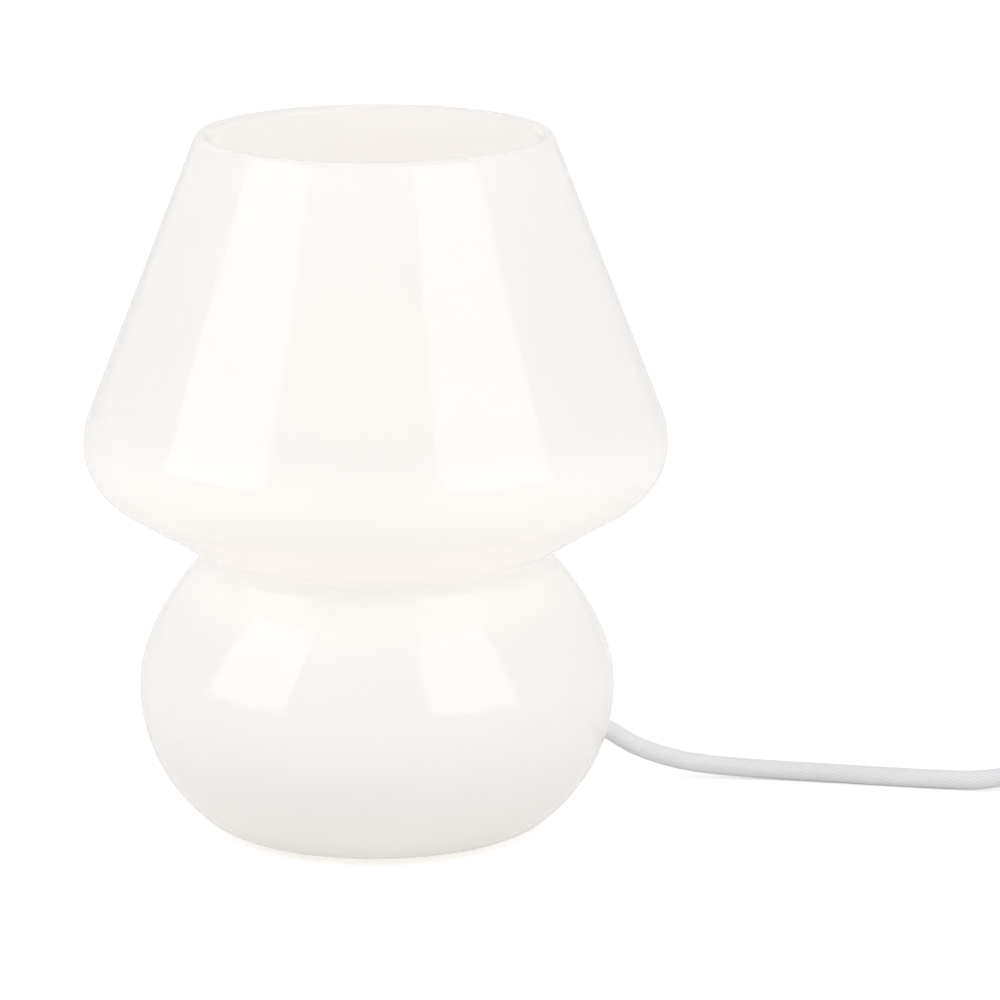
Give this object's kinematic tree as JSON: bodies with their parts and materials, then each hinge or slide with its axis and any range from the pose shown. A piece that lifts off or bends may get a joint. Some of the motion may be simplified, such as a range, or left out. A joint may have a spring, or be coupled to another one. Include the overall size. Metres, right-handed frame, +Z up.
{
  "type": "mushroom table lamp",
  "caption": "Small mushroom table lamp in one piece of blown opal glass, with a hung lampholder, textile cord, in-line rocker switch and flat plug.",
  "frame": {"origin": "the lamp's axis at the level its foot pads stand on", "axes": "+Z up the lamp axis, +X to the right and -Y to the front as pictured; the cord leaves at the back right"},
  "size_m": [0.4145, 0.2262, 0.1994],
  "materials": {
    "opal_glass": "glossy fire-polished opal",
    "silicone": "soft translucent",
    "grommet_rubber": "satin",
    "spring_steel": "brushed",
    "holder_plastic": "satin thermoplastic",
    "contact_ceramic": "unglazed",
    "contact_brass": "stamped",
    "screw_steel": "zinc plated",
    "textile_cord": "braided",
    "core_insulation": "extruded",
    "frosted_cover": "frosted",
    "bulb_plastic": "moulded",
    "bulb_cap_metal": "rolled",
    "insulator_glass": "glassy",
    "board_white": "solder resist",
    "led_phosphor": "silicone dome",
    "switch_plastic": "moulded",
    "plug_plastic": "moulded",
    "pin_metal": "nickel plated",
    "pin_sleeve": "moulded",
    "tie_fabric": "hook and loop band"
  },
  "bodies": {
    "lamp": {"glass_body": "opal_glass", "foot_pads": "silicone", "cord_grommet": "grommet_rubber", "holder_spider": "spring_steel", "spider_sleeves": "silicone", "shade_ring": "holder_plastic", "holder_shell": "holder_plastic", "holder_cap": "holder_plastic", "grip_screw": "screw_steel", "contact_block": "contact_ceramic", "contact_sleeve": "contact_brass", "centre_contact": "contact_brass", "holder_screws": "screw_steel", "inner_cord": "textile_cord", "cord_cores": "core_insulation", "switch_base": "switch_plastic", "switch_cover": "switch_plastic", "fixed_contact": "contact_brass", "pivot_contact": "contact_brass", "neutral_link": "contact_brass", "switch_screws": "screw_steel", "switch_cores": "core_insulation", "cord_straps": "switch_plastic", "strap_screws": "screw_steel", "housing_screws": "screw_steel", "cord_lead": "textile_cord", "cord_tail": "textile_cord", "cord_coil": "textile_cord", "cord_tie": "tie_fabric", "cord_end": "textile_cord", "plug_relief": "plug_plastic", "plug_body": "plug_plastic", "plug_pins": "pin_metal", "pin_sleeves": "pin_sleeve"},
    "bulb": {"bulb_globe": "frosted_cover", "bulb_body": "bulb_plastic", "bulb_cap": "bulb_cap_metal", "bulb_insulator": "insulator_glass", "bulb_contact": "contact_brass", "led_board": "board_white", "led_chips": "led_phosphor"},
    "rocker": {"switch_rocker": "switch_plastic", "switch_plunger": "contact_brass", "plunger_spring": "spring_steel"},
    "lever": {"switch_lever": "contact_brass"}
  },
  "joints": [
    {"name": "bulb_lift", "type": "slide", "parent": "lamp", "child": "bulb", "axis": [0, 0, 1], "range_m": [0, 0.13]},
    {"name": "rocker_tilt", "type": "hinge", "parent": "lamp", "child": "rocker", "pos_m": [0.243, 0.028, 0.0152], "axis": [0, -1, 0], "range_deg": [0, 16]},
    {"name": "lever_tilt", "type": "hinge", "parent": "lamp", "child": "lever", "pos_m": [0.243, 0.028, 0.0046], "axis": [0, 1, 0], "range_deg": [0, 10]}
  ],
  "couplings": [
    {"joint": "lever_tilt", "follows": "rocker_tilt", "ratio": 0.625}
  ]
}
